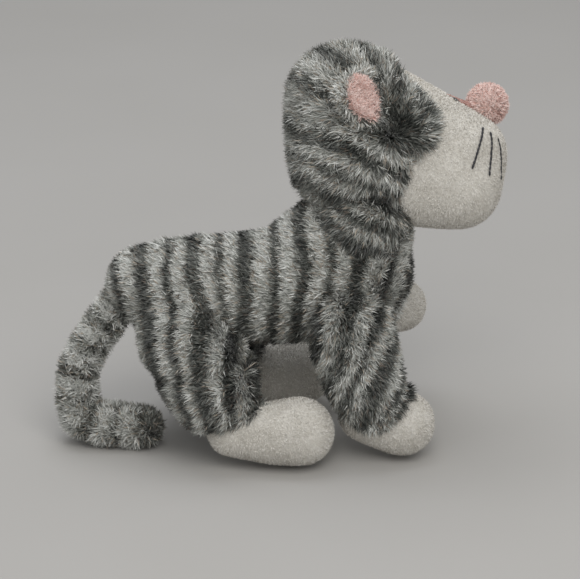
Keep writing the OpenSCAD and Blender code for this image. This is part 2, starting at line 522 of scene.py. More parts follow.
def marking(
    p: np.ndarray, pattern: Hoops | Sag | HoodPrint, seed: int, light: float = 0.61,
    drift: np.ndarray | float = 0.0,
) -> np.ndarray:
    """Tone of the print at each point, 0 black to 1 white.

    Args:
        p: N by 3 points, mm, in the frame the pattern is given in.
        pattern: where the dark bands lie.
        seed: seed of the uneven print.
        light: tone between the bands.
        drift: how far a strand's tip lies from its root, mm, so that the tips show the print in its place.

    Returns:
        N tones.
    """
    r = p + drift
    q = np.c_[r[:, 0], np.abs(r[:, 1]), r[:, 2]]
    wander = np.c_[lumps(q, 26, seed), lumps(q, 9, seed + 5), lumps(q, 26, seed + 9)] * WANDER
    dark = pattern.dark(q + wander) * (1.02 + BAND_PATCHES * lumps(p, 15, seed + 2))
    tone = light + CLOTH_PATCHES * lumps(p, 24, seed + 3) + CLOTH_PATCHES * lumps(p, 8, seed + 4)
    return np.clip(tone * (1 - BAND_INK * np.clip(dark, 0, 1.1)), *TONE_ENDS)


# ---------------------------------------------------------------- finishes


def new_material(name: str) -> tuple[bpy.types.Material, bpy.types.NodeTree, bpy.types.Node]:
    """Makes a material with an empty Principled surface.

    Args:
        name: material name.

    Returns:
        The material, its tree and its Principled node.
    """
    mat = bpy.data.materials.new(name)
    mat.use_nodes = True
    tree = mat.node_tree
    tree.nodes.clear()
    surface = add_node(tree, "ShaderNodeBsdfPrincipled")
    out = add_node(tree, "ShaderNodeOutputMaterial")
    tree.links.new(surface.outputs[0], out.inputs[0])
    return mat, tree, surface


def lumpy(
    tree: bpy.types.NodeTree, size_mm: float, detail: float, roughness: float = 0.5
) -> bpy.types.NodeSocket:
    """Noise over the object's own coordinates, with lumps of about the given size."""
    at = add_node(tree, "ShaderNodeTexCoord").outputs["Object"]
    ins = {"Vector": at, "Scale": 1 / (size_mm * MM), "Detail": detail, "Roughness": roughness}
    return add_node(tree, "ShaderNodeTexNoise", ins).outputs[0]


def blended(
    tree: bpy.types.NodeTree, share: bpy.types.NodeSocket, low: str, high: str
) -> bpy.types.NodeSocket:
    """A colour between two sRGB hex values."""
    ins = {0: share, 6: linear(low), 7: linear(high)}
    return add_node(tree, "ShaderNodeMix", ins, data_type="RGBA").outputs[2]


def ranged(
    tree: bpy.types.NodeTree, value: bpy.types.NodeSocket, start: tuple[float, float],
    end: tuple[float, float] = (0.0, 1.0),
) -> bpy.types.NodeSocket:
    """A value moved from one range to another."""
    ins = {"Value": value, "From Min": start[0], "From Max": start[1], "To Min": end[0], "To Max": end[1]}
    return add_node(tree, "ShaderNodeMapRange", ins).outputs[0]


def relief(
    tree: bpy.types.NodeTree, height: bpy.types.NodeSocket, strength: float, depth_mm: float
) -> bpy.types.NodeSocket:
    """A fine bump from a height."""
    ins = {"Height": height, "Strength": strength, "Distance": depth_mm * MM}
    return add_node(tree, "ShaderNodeBump", ins).outputs[0]


@dataclass(frozen=True)
class Fibre:
    """Polyester plush fibre in one dyed shade.

    Spun polyester: satiny along its length, so a middling roughness with a thin sheen at the rim.
    A strand is under a millimetre wide and carries one dyed colour; the print, and the painted shade laid
    over it, come from which shade each strand takes, chosen strand by strand in the pile's Geometry Nodes.
    """

    name: str
    hex_colour: str
    roughness: float = 0.42
    sheen: float = 0.2

    def material(self) -> bpy.types.Material:
        """The fibre's material."""
        mat, tree, surface = new_material(self.name)
        feed(tree, surface, {
            "Base Color": linear(self.hex_colour), "Roughness": self.roughness, "IOR": 1.54,
            "Specular IOR Level": 0.60, "Sheen Weight": self.sheen, "Sheen Roughness": 0.4,
        })
        mat.diffuse_color = linear(self.hex_colour)
        return mat


@dataclass(frozen=True)
class PrintedBacking:
    """Knitted polyester backing of the tabby fur, printed with the same marking as its pile.

    Seen only in the partings between strands: dull grey knit, its tone lowered as painted shade under the
    pile, with the knit's loops as a fine bump.
    """

    name: str = "knitted_polyester_tabby_backing"
    dark: str = "#20221f"
    middle: str = "#6a6b65"
    pale: str = "#b4b4ad"
    loop_mm: float = 1.1

    def material(self) -> bpy.types.Material:
        """The backing's material, coloured by the mesh's tone attribute."""
        mat, tree, surface = new_material(self.name)
        tone = add_node(tree, "ShaderNodeAttribute", attribute_name="tone")
        loops = lumpy(tree, self.loop_mm, 3.0)
        mixed = add_node(
            tree, "ShaderNodeMath", {0: loops, 1: 0.30, 2: tone.outputs["Fac"]}, operation="MULTIPLY_ADD"
        )
        # tone lowered by 0.2: painted shade under the pile
        shaded_under_pile = add_node(tree, "ShaderNodeMath", {0: mixed.outputs[0], 1: 0.20}, operation="SUBTRACT")
        ramp = add_node(tree, "ShaderNodeValToRGB", {0: shaded_under_pile.outputs[0]})
        ramp.color_ramp.elements[0].color = linear(self.dark)
        ramp.color_ramp.elements[1].color = linear(self.pale)
        ramp.color_ramp.elements.new(0.45).color = linear(self.middle)
        feed(tree, surface, {
            "Base Color": ramp.outputs[0], "Normal": relief(tree, loops, 0.7, 0.6), "Roughness": 0.9,
        })
        return mat


@dataclass(frozen=True)
class ShortPile:
    """Short velour pile, sheared to about a millimetre and a half.

    Matt and soft, with a stipple of painted shade where bundles of fibre part and faint lighter and
    darker patches; the sheen lifts its rims.
    """

    name: str
    pale: str
    # the darker colour: painted shade where bundles part, and the darker patches
    shade: str
    bundle_mm: float = 1.3
    patch_mm: float = 14.0
    relief_mm: float = 0.55

    def material(self) -> bpy.types.Material:
        """The velour's material."""
        mat, tree, surface = new_material(self.name)
        bundles = lumpy(tree, self.bundle_mm, 2.0, 0.55)
        patches = lumpy(tree, self.patch_mm, 3.0)
        share = add_node(
            tree, "ShaderNodeMath", {0: bundles, 1: 0.55, 2: patches}, operation="MULTIPLY_ADD"
        ).outputs[0]
        feed(tree, surface, {
            "Base Color": blended(tree, ranged(tree, share, (0.55, 1.0)), self.shade, self.pale),
            "Normal": relief(tree, bundles, 0.8, self.relief_mm),
            "Roughness": 0.88, "Sheen Weight": 0.30, "Sheen Roughness": 0.45,
        })
        return mat


@dataclass(frozen=True)
class TwistedThread:
    """Six-strand embroidery thread: soft gloss with its twist as slanting ridges, painted lighter along them
    as a highlight.
    """

    name: str
    hex_colour: str
    # colour of the painted highlight along the twist's ridges
    ridge_highlight: str
    twist_mm: float = 0.5

    def material(self) -> bpy.types.Material:
        """The thread's material."""
        mat, tree, surface = new_material(self.name)
        place = add_node(tree, "ShaderNodeTexCoord")
        turned = add_node(
            tree, "ShaderNodeMapping", {"Vector": place.outputs["Object"], "Rotation": (0.5, 0.4, 0.0)}
        )
        wave = add_node(
            tree, "ShaderNodeTexWave",
            {"Vector": turned.outputs[0], "Scale": 0.314 / (self.twist_mm * MM), "Distortion": 0.6},
            bands_direction="Z",
        )
        feed(tree, surface, {
            "Base Color": blended(tree, wave.outputs[1], self.hex_colour, self.ridge_highlight),
            "Normal": relief(tree, wave.outputs[1], 0.5, 0.15),
            "Roughness": 0.5,
        })
        return mat


@dataclass(frozen=True)
class DomedEye:
    """Polished black acrylic safety eye: deep gloss with faint handling haze."""

    name: str = "black_acrylic_eye"
    haze_mm: float = 2.0

    def material(self) -> bpy.types.Material:
        """The eye's material."""
        mat, tree, surface = new_material(self.name)
        haze = lumpy(tree, self.haze_mm, 4.0)
        feed(tree, surface, {
            "Base Color": blended(tree, haze, "#0b0a09", "#1d1815"),
            "Roughness": ranged(tree, haze, (0.3, 0.7), (0.06, 0.16)),
            "IOR": 1.49, "Coat Weight": 0.5,
        })
        return mat


@dataclass(frozen=True)
class FloorSheet:
    """Plain pale matt floor."""

    name: str = "pale_matt_floor"
    pale: str = "#b4b2af"
    shade: str = "#aeaca8"
    cloud_mm: float = 200.0

    def material(self) -> bpy.types.Material:
        """The floor's material."""
        mat, tree, surface = new_material(self.name)
        cloud = lumpy(tree, self.cloud_mm, 2.0)
        feed(tree, surface, {
            "Base Color": blended(tree, cloud, self.shade, self.pale),
            "Roughness": 0.85, "Specular IOR Level": 0.2,
        })
        return mat


GREY_FIBRES = tuple(
    Fibre(f"polyester_fibre_grey_{k}", h)
    for k, h in enumerate(
        ("#1b1d1a", "#2e312d", "#474a45", "#62645f", "#7f817b", "#9a9c96", "#b2b4ae", "#cacbc6", "#e2e3df")
    )
)
WARM_FIBRES = (Fibre("polyester_fibre_taupe", "#6b6157"), Fibre("polyester_fibre_oat", "#b0a596"))
# between which tones each warm fibre is scattered, and what share of the strands there takes it
WARM_TONES = ((0.36, 0.56), (0.60, 0.85))
WARM_SHARE = 0.20
WHITE_FIBRES = (
    Fibre("velour_fibre_shadow_white", "#bfbab2", 0.8),
    Fibre("velour_fibre_white", "#d6d2ca", 0.8),
    Fibre("velour_fibre_bright_white", "#e6e3dd", 0.8),
)
PINK_FIBRES = (
    Fibre("polyester_fibre_deep_rose", "#c79c92", 0.7),
    Fibre("polyester_fibre_rose", "#e6c1b7", 0.7),
    Fibre("polyester_fibre_pale_rose", "#f6e0d9", 0.7),
)


# ---------------------------------------------------------------- pile


class Plot(Enum):
    """Which quarter of a skin a pile piece covers, so that each piece stays small."""

    ALL = "all"
    RIGHT_FRONT = "right_front"
    RIGHT_REAR = "right_rear"
    LEFT_FRONT = "left_front"
    LEFT_REAR = "left_rear"

    def mask(self, p: np.ndarray, middle: float) -> np.ndarray:
        """1 on the plot and 0 off it.

        Args:
            p: N by 3 points, mm.
            middle: where front meets rear along the cat, mm.

        Returns:
            N floats.
        """
        on = np.ones(len(p), bool)
        if "right" in self.value:
            on &= p[:, 1] < 0
        if "left" in self.value:
            on &= p[:, 1] >= 0
        if "front" in self.value:
            on &= p[:, 0] >= middle
        if "rear" in self.value:
            on &= p[:, 0] < middle
        return on.astype(float)


@dataclass(frozen=True)
class Pile:
    """How a pile grows: its strands' size, how thick they stand and how they lie."""

    per_mm2: float = 2.9
    length: float = 8.0
    width: float = 0.8
    comb: float = 1.25
    scatter: float = 0.30
    clump_mm: float = 4.2
    clump_pull: float = 2.6
    # how much paler a strand's tip is than its root: painted shade deep in the pile
    painted_root_shade: float = 0.30
    dye_spread: float = 0.22


QUARTERS = (Plot.RIGHT_FRONT, Plot.RIGHT_REAR, Plot.LEFT_FRONT, Plot.LEFT_REAR)
VELOUR_FUZZ = Pile(
    per_mm2=1.8, length=1.5, width=0.42, comb=0.5, scatter=0.8, clump_mm=3.0, clump_pull=0.8,
    painted_root_shade=0.1, dye_spread=0.3,
)


def strand_object() -> bpy.types.Object:
    """One flat strand, one unit tall, bending towards its own +Y: a root quad and a tip triangle."""
    verts = [(-0.5, 0, 0), (0.5, 0, 0), (-0.44, 0.13, 0.55), (0.44, 0.13, 0.55), (0, 0.42, 0.95)]
    mesh = bpy.data.meshes.new("strand")
    mesh.from_pydata(verts, [], [(0, 1, 3, 2), (2, 3, 4)])
    smooth(mesh)
    up = mesh.attributes.new("up", "FLOAT", "POINT")
    up.data.foreach_set("value", [0.0, 0.0, 0.5, 0.5, 1.0])
    return linked("strand", mesh)


def pile_tree(
    name: str, shades: list[bpy.types.Material], warm: list[bpy.types.Material]
) -> bpy.types.NodeTree:
    """Builds the Geometry Nodes that grow strands on a skin and pick each one's fibre shade from print and
    painted shade.

    The skin carries tone, cover_PLOT, pile and comb attributes.

    Args:
        name: tree name.
        shades: fibre materials from dark to pale.
        warm: two brownish fibres scattered through the middle tones, or none.

    Returns:
        The node tree.
    """
    tree = bpy.data.node_groups.new(name, "GeometryNodeTree")
    face = tree.interface
    face.new_socket("Geometry", in_out="INPUT", socket_type="NodeSocketGeometry")
    face.new_socket("Geometry", in_out="OUTPUT", socket_type="NodeSocketGeometry")
    face.new_socket("Strand", in_out="INPUT", socket_type="NodeSocketObject")
    face.new_socket("Cover", in_out="INPUT", socket_type="NodeSocketString")
    for label in (
        "Density", "Length", "Width", "Comb", "Scatter", "Clump Size", "Clump Pull",
        "Tip Lift", "Dye Spread", "Floor",
    ):
        face.new_socket(label, in_out="INPUT", socket_type="NodeSocketFloat")
    face.new_socket("Seed", in_out="INPUT", socket_type="NodeSocketInt")
    put = add_node(tree, "NodeGroupInput").outputs

    def attribute(label: object, kind: str = "FLOAT") -> bpy.types.NodeSocket:
        """Reads a named attribute."""
        ins = {"Name": label}
        return add_node(tree, "GeometryNodeInputNamedAttribute", ins, data_type=kind).outputs[0]

    def maths(op: str, *ins: object) -> bpy.types.NodeSocket:
        """One scalar operation."""
        return add_node(tree, "ShaderNodeMath", dict(enumerate(ins)), operation=op).outputs[0]

    def vectors(op: str, *ins: object) -> bpy.types.NodeSocket:
        """One vector operation."""
        given = {0: ins[0], "Scale": ins[1]} if op == "SCALE" else dict(enumerate(ins))
        return add_node(tree, "ShaderNodeVectorMath", given, operation=op).outputs[0]

    def chance(low: float, high: float, salt: int) -> bpy.types.NodeSocket:
        """A random number for each strand."""
        seed = maths("ADD", put["Seed"], float(salt))
        return add_node(
            tree, "FunctionNodeRandomValue", {2: low, 3: high, "Seed": seed}, data_type="FLOAT"
        ).outputs[1]

    density = maths("MULTIPLY", put["Density"], attribute(put["Cover"]))
    spots = add_node(
        tree, "GeometryNodeDistributePointsOnFaces",
        {"Mesh": put["Geometry"], "Density": density, "Seed": put["Seed"]},
        distribute_method="RANDOM",
    )
    normal = spots.outputs["Normal"]
    where = add_node(tree, "GeometryNodeInputPosition").outputs[0]
    clump_at = vectors("DIVIDE", where, add_node(
        tree, "ShaderNodeCombineXYZ", {0: put["Clump Size"], 1: put["Clump Size"], 2: put["Clump Size"]}
    ).outputs[0])
    clump = add_node(tree, "ShaderNodeTexNoise", {"Vector": clump_at, "Scale": 1.0, "Detail": 1.0})
    pull = vectors("SCALE", vectors("SUBTRACT", clump.outputs["Color"], (0.5, 0.5, 0.5)), put["Clump Pull"])
    stray = vectors("SCALE", add_node(
        tree, "FunctionNodeRandomValue", {0: (-1, -1, -1), 1: (1, 1, 1), "Seed": put["Seed"]},
        data_type="FLOAT_VECTOR",
    ).outputs[0], put["Scatter"])
    lay = vectors("SCALE", attribute("comb", "FLOAT_VECTOR"), put["Comb"])
    sway = vectors("ADD", vectors("ADD", lay, pull), stray)
    rise = vectors("NORMALIZE", vectors("ADD", normal, vectors("SCALE", sway, 0.75)))
    stand = add_node(tree, "FunctionNodeAlignRotationToVector", {"Vector": rise}, axis="Z")
    turn = add_node(
        tree, "FunctionNodeAlignRotationToVector", {"Rotation": stand.outputs[0], "Vector": sway},
        axis="Y", pivot_axis="Z",
    )
    roll = add_node(tree, "ShaderNodeCombineXYZ", {2: chance(-0.9, 0.9, 11)})
    rolled = add_node(
        tree, "FunctionNodeRotateRotation", {0: turn.outputs[0], 1: roll.outputs[0]}, rotation_space="LOCAL"
    )
    tall = maths("MULTIPLY", maths("MULTIPLY", put["Length"], attribute("pile")), chance(0.65, 1.25, 21))
    thick = maths("MULTIPLY", put["Width"], chance(0.7, 1.3, 31))
    size = add_node(tree, "ShaderNodeCombineXYZ", {0: thick, 1: tall, 2: tall})
    blotch = maths("SUBTRACT", clump.outputs[0], 0.5)
    # the strand's tone: print and painted shade from the skin, clump blotches and scatter
    dye = maths("ADD", attribute("tone"), maths("MULTIPLY", blotch, 0.25))
    dye = maths("ADD", dye, maths("MULTIPLY", chance(-1.0, 1.0, 41), put["Dye Spread"]))
    dyed = add_node(
        tree, "GeometryNodeStoreNamedAttribute",
        {"Geometry": spots.outputs["Points"], "Name": "dye", "Value": dye}, data_type="FLOAT", domain="POINT",
    )
    tinted = add_node(
        tree, "GeometryNodeStoreNamedAttribute",
        {"Geometry": dyed.outputs[0], "Name": "warmth", "Value": chance(0.0, 1.0, 51)},
        data_type="FLOAT", domain="POINT",
    )
    strand = add_node(tree, "GeometryNodeObjectInfo", {"Object": put["Strand"]})
    strands = add_node(
        tree, "GeometryNodeInstanceOnPoints",
        {
            "Points": tinted.outputs[0], "Instance": strand.outputs["Geometry"],
            "Rotation": rolled.outputs[0], "Scale": size.outputs[0],
        },
    )
    real = add_node(tree, "GeometryNodeRealizeInstances", {0: strands.outputs[0]})
    now = add_node(tree, "GeometryNodeInputPosition").outputs[0]
    xyz = add_node(tree, "ShaderNodeSeparateXYZ", {0: now}).outputs
    kept = add_node(
        tree, "ShaderNodeCombineXYZ", {0: xyz[0], 1: xyz[1], 2: maths("MAXIMUM", xyz[2], put["Floor"])}
    )
    settled = add_node(
        tree, "GeometryNodeSetPosition", {"Geometry": real.outputs[0], "Position": kept.outputs[0]}
    )
    # tips take paler fibres than roots: painted shade deep in the pile
    lifted = maths("MULTIPLY_ADD", attribute("up"), put["Tip Lift"], attribute("dye"))
    last = add_node(
        tree, "GeometryNodeSetMaterial", {"Geometry": settled.outputs[0], "Material": shades[0]}
    ).outputs[0]
    for k in range(1, len(shades)):
        above = add_node(
            tree, "FunctionNodeCompare", {0: lifted, 1: k / len(shades)},
            data_type="FLOAT", operation="GREATER_THAN",
        )
        last = add_node(
            tree, "GeometryNodeSetMaterial",
            {"Geometry": last, "Selection": above.outputs[0], "Material": shades[k]},
        ).outputs[0]
    for mat, (low, high) in zip(warm, WARM_TONES):
        inside = maths(
            "MULTIPLY", maths("GREATER_THAN", lifted, low), maths("LESS_THAN", lifted, high)
        )
        picked = maths("MULTIPLY", inside, maths("GREATER_THAN", attribute("warmth"), 1 - WARM_SHARE))
        last = add_node(
            tree, "GeometryNodeSetMaterial", {"Geometry": last, "Selection": picked, "Material": mat}
        ).outputs[0]
    add_node(tree, "NodeGroupOutput", {0: last})
    return tree


# what the pile's tree reads or writes, dropped from the finished strands
USED_UP = ("dye", "warmth", "up", "tone", "comb", "cover", "pile", "plot_cover")


@dataclass
class Furrier:
    """Grows pile on skins and keeps the shared materials, trees and counts."""

    backing: bpy.types.Material = field(init=False)
    velour: bpy.types.Material = field(init=False)
    rose: bpy.types.Material = field(init=False)
    grey_tree: bpy.types.NodeTree = field(init=False)
    white_tree: bpy.types.NodeTree = field(init=False)
    rose_tree: bpy.types.NodeTree = field(init=False)
    strand: bpy.types.Object = field(init=False)
    seed: int = 40
    triangles: int = 0

    def __post_init__(self) -> None:
        """Makes the finishes, the strand and the trees."""
        self.backing = PrintedBacking().material()
        # each velour's second colour is its painted shade where bundles of fibre part
        self.velour = ShortPile("white_polyester_velour", "#e0ddd6", "#c6c2b9").material()
        self.rose = ShortPile("rose_polyester_velour", "#dcbcb4", "#a88c85", 1.6, 9.0).material()
        grey = [f.material() for f in GREY_FIBRES]
        warm = [f.material() for f in WARM_FIBRES]
        self.grey_tree = pile_tree("tabby_pile", grey, warm)
        self.white_tree = pile_tree("white_velour_pile", [f.material() for f in WHITE_FIBRES], [])
        self.rose_tree = pile_tree("rose_pile", [f.material() for f in PINK_FIBRES], [])
        self.strand = strand_object()

    def dress(
        self, skin: bpy.types.Object, tone: np.ndarray, comb: np.ndarray, cover: np.ndarray, pile: np.ndarray
    ) -> None:
        """Stores what the pile's tree reads on a skin.

        Args:
            skin: the skin's object.
            tone: print tone per vertex.
            comb: which way the nap lies, N by 3.
            cover: share of the density per vertex.
            pile: share of the length per vertex.
        """
        out = normals_of(skin)
        flat = comb - out * np.sum(comb * out, axis=1, keepdims=True)
        set_attribute(skin, "tone", tone)
        set_attribute(skin, "comb", flat)
        set_attribute(skin, "cover", cover)
        set_attribute(skin, "pile", pile)

    def grow(
        self, skin: bpy.types.Object, name: str, body: str, pile: Pile,
        tree: bpy.types.NodeTree, plot: Plot = Plot.ALL, middle: float = 0.0,
    ) -> bpy.types.Object:
        """Grows one plot of pile and rides it on a body.

        Args:
            skin: a dressed skin.
            name: the piece's name.
            body: the CAD body it moves with.
            pile: the strands' sizes.
            tree: the pile's node tree.
            plot: which part of the skin it covers.
            middle: where front meets rear, mm.

        Returns:
            The pile as a plain mesh.
        """
        self.seed += 17
        ob = copied(skin, name)
        cover = np.empty(len(ob.data.vertices), np.float32)
        ob.data.attributes["cover"].data.foreach_get("value", cover)
        set_attribute(ob, "plot_cover", cover * plot.mask(points_of(skin), middle))
        add_tree(ob, "pile", tree, {
            "Strand": self.strand, "Cover": "plot_cover", "Density": pile.per_mm2 * 1e6,
            "Length": pile.length * MM, "Width": pile.width * MM, "Comb": pile.comb,
            "Scatter": pile.scatter, "Clump Size": pile.clump_mm * MM, "Clump Pull": pile.clump_pull,
            "Tip Lift": pile.painted_root_shade, "Dye Spread": pile.dye_spread, "Floor": 0.4 * MM, "Seed": self.seed,
        })
        baked(ob)
        for name_used in [a.name for a in ob.data.attributes if a.name in USED_UP]:
            ob.data.attributes.remove(ob.data.attributes[name_used])
        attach(ob, body)
        count = sum(len(q.vertices) - 2 for q in ob.data.polygons)
        self.triangles += count
        LOG.info("%s: %d triangles on %s", name, count, body)
        return ob

    def grow_quarters(self, skin: bpy.types.Object, body: str, pile: Pile, middle: float) -> None:
        """Grows the grey pile of a large skin in four pieces, which meet at a distance along the cat."""
        for plot in QUARTERS:
            name = f"{body}_pile_{plot.value}"
            self.grow(skin, name, body, pile, self.grey_tree, plot, middle)


def finished(
    ob: bpy.types.Object, mat: bpy.types.Material, body: str, slot: str, *nodes: str
) -> bpy.types.Object:
    """Gives a piece its material and body, and hides the CAD nodes it stands for.

    Args:
        ob: the piece.
        mat: its finish.
        body: CAD body it rides on.
        slot: the record's material slot; not used.
        nodes: CAD nodes it replaces.

    Returns:
        The piece.
    """
    ob.data.materials.clear()
    ob.data.materials.append(mat)
    if nodes:
        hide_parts(*nodes)
    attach(ob, body)
    LOG.info("%s: %d faces on %s", ob.name, len(ob.data.polygons), body)
    return ob


# ---------------------------------------------------------------- the cat's sub-assemblies


@dataclass(frozen=True)
class HeadFrame:
    """The head's own frame: forward, left and up from the neck's ball."""

    pivot: Point = (50.0, 0.0, 156.0)
    turn: float = 10.0
    lean: float = 18.0

    def axes(self) -> np.ndarray:
        """The frame's axes as the columns of a 3 by 3 matrix."""
        a, b = math.radians(self.turn), math.radians(-self.lean)
        spin = np.array([[math.cos(a), -math.sin(a), 0], [math.sin(a), math.cos(a), 0], [0, 0, 1]])
        tilt = np.array([[1, 0, 0], [0, math.cos(b), -math.sin(b)], [0, math.sin(b), math.cos(b)]])
        return spin @ tilt

    def out(self, p: np.ndarray) -> np.ndarray:
        """Head points to the cat's frame."""
        return np.asarray(p, float) @ self.axes().T + np.array(self.pivot)

    def into(self, p: np.ndarray) -> np.ndarray:
        """The cat's points to the head's frame."""
        return (np.asarray(p, float) - np.array(self.pivot)) @ self.axes()

    def stations(self, rows: list[Station]) -> list[Station]:
        """Head stations to the cat's frame."""
        return [(*self.out(np.array(r[:3])), r[3]) for r in rows]


HEAD = HeadFrame()


@dataclass
class Trunk:
    """The stuffed trunk: one skin from rump to chest with a raised withers."""

    spine: list[Station] = field(default_factory=lambda: [
        (-91, 0, 109, 24.5), (-72, 0, 103.5, 33.5), (-32, 0, 106, 35.5), (5, 0, 109, 38), (48, 0, 121, 35),
    ])
    withers: list[Station] = field(default_factory=lambda: [
        (5, 0, 110, 37), (36, 0, 146, 28), (58, 0, 144, 25.5),
    ])
    # the nap lies back and up, sinks over the belly and turns forward over the chest
    nap: Point = (-0.9, 0.0, 0.42)
    belly_sink: float = 0.5
    chest_turn: float = 1.2
    neck_bare: float = 24.0
    plots_meet: float = -10.0
    pile: Pile = Pile()

    def distance(self, p: np.ndarray) -> np.ndarray:
        """Signed distance to the trunk's form."""
        return np.minimum(chain_distance(p, self.spine), chain_distance(p, self.withers))

    def make(self, furrier: Furrier) -> None:
        """Sews the trunk and grows its pile."""
        pairs = [[a, b] for a, b in zip(self.spine, self.spine[1:])]
        skin = cloth_run(stuffed_skin("torso_skin", pairs + [self.withers], 3.0, 10), voxel=5.0)
        p = points_of(skin)
        out = normals_of(skin)
        set_points(skin, p + out * (1.1 * lumps(p, 26, 3))[:, None])
        p = points_of(skin)
        comb = combed(p, self.nap)
        comb[:, 2] -= self.belly_sink * step(100, 72, p[:, 2])
        comb[:, 0] += self.chest_turn * step(45, 80, p[:, 0])
        tone = marking(p, Hoops(), BODY_SEED, drift=comb * BODY_DRIFT)
        # darker towards the belly: painted shade on the underside
        tone *= 1 - 0.35 * step(84, 72, p[:, 2])
        cover = 1 - 0.6 * step(0.4, 0.95, -out[:, 2])
        cover *= np.where(np.linalg.norm(p - np.array(HEAD.pivot), axis=1) < self.neck_bare, 0, 1)
        furrier.dress(skin, tone, comb, cover, 0.9 + 0.2 * lumps(p, 30, 5))
        finished(skin, furrier.backing, "torso", "tabby_pile", "torso_shell", "torso_fill", "torso_beans")
        furrier.grow_quarters(skin, "torso", self.pile, self.plots_meet)


@dataclass
class Neck:
    """The gathered neck: a ball of cloth that fills the gap between head and chest."""

    radius: float = 30.0
    print_bands: Sag = Sag(Bands(14.0, 178.0, 5.0))
    # the whole neck's print is darkened: painted shade under the head
    shade: float = 0.78
    nap: Point = (-0.6, 0.0, -0.6)
    pile: Pile = Pile(length=8.5)

    def make(self, furrier: Furrier) -> None:
        """Sews the neck and grows its pile."""
        skin = stuffed_skin("neck_skin", [[(*HEAD.pivot, self.radius)]], 2.6, 3)
        p = points_of(skin)
        # darkened by the painted shade under the head
        tone = self.shade * marking(p, self.print_bands, 21)
        furrier.dress(skin, tone, combed(p, self.nap), np.ones(len(p)), np.ones(len(p)))
        finished(skin, furrier.backing, "neck", "tabby_pile", "neck_sleeve", "neck_fill")
        furrier.grow(skin, "neck_pile", "neck", self.pile, furrier.grey_tree)


